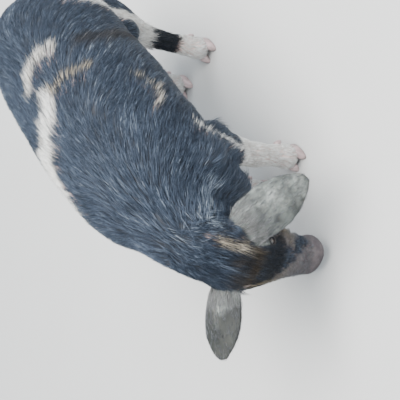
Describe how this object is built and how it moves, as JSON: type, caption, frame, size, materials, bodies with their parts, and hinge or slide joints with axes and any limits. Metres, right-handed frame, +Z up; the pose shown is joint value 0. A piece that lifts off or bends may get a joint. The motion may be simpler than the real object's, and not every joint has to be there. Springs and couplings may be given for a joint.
{
  "type": "kunekune pig",
  "caption": "Still, life-size model of a young kunekune pig, black with cream patches, that stands on all fours with its head lowered and its snout just off the ground.",
  "frame": {"origin": "on the ground, under the centre of the pig's box", "axes": "+X forward, from tail to snout; +Y to the pig's left; +Z up"},
  "size_m": [0.5238, 0.2048, 0.2864],
  "materials": {
    "black_coat": "short bristly coat, slate black with a faint blue-grey sheen",
    "white_coat": "short bristly coat, cream white over pink skin",
    "ear_skin": "thin grey skin with sparse hair",
    "bare_skin": "moist pinkish-grey snout skin",
    "claw": "pink horn, slightly worn",
    "eye": "wet dark brown"
  },
  "bodies": {
    "root": {"torso": "black_coat", "eye_left": "eye", "eye_right": "eye", "snout": "bare_skin", "head": "black_coat", "neck": "black_coat", "ear_left": "ear_skin", "ear_right": "ear_skin", "wattle_left": "black_coat", "wattle_right": "black_coat", "tail": "black_coat", "left_foreleg_inner_claw": "claw", "left_foreleg_inner_dewclaw": "claw", "left_foreleg_outer_claw": "claw", "left_foreleg_outer_dewclaw": "claw", "left_foreleg_upper": "black_coat", "left_foreleg_lower": "white_coat", "left_hindleg_inner_claw": "claw", "left_hindleg_inner_dewclaw": "claw", "left_hindleg_outer_claw": "claw", "left_hindleg_outer_dewclaw": "claw", "left_hindleg_upper": "black_coat", "left_hindleg_lower": "white_coat", "right_foreleg_inner_claw": "claw", "right_foreleg_inner_dewclaw": "claw", "right_foreleg_outer_claw": "claw", "right_foreleg_outer_dewclaw": "claw", "right_foreleg_upper": "black_coat", "right_foreleg_lower": "white_coat", "right_hindleg_inner_claw": "claw", "right_hindleg_inner_dewclaw": "claw", "right_hindleg_outer_claw": "claw", "right_hindleg_outer_dewclaw": "claw", "right_hindleg_upper": "black_coat", "right_hindleg_lower": "white_coat"}
  },
  "joints": []
}
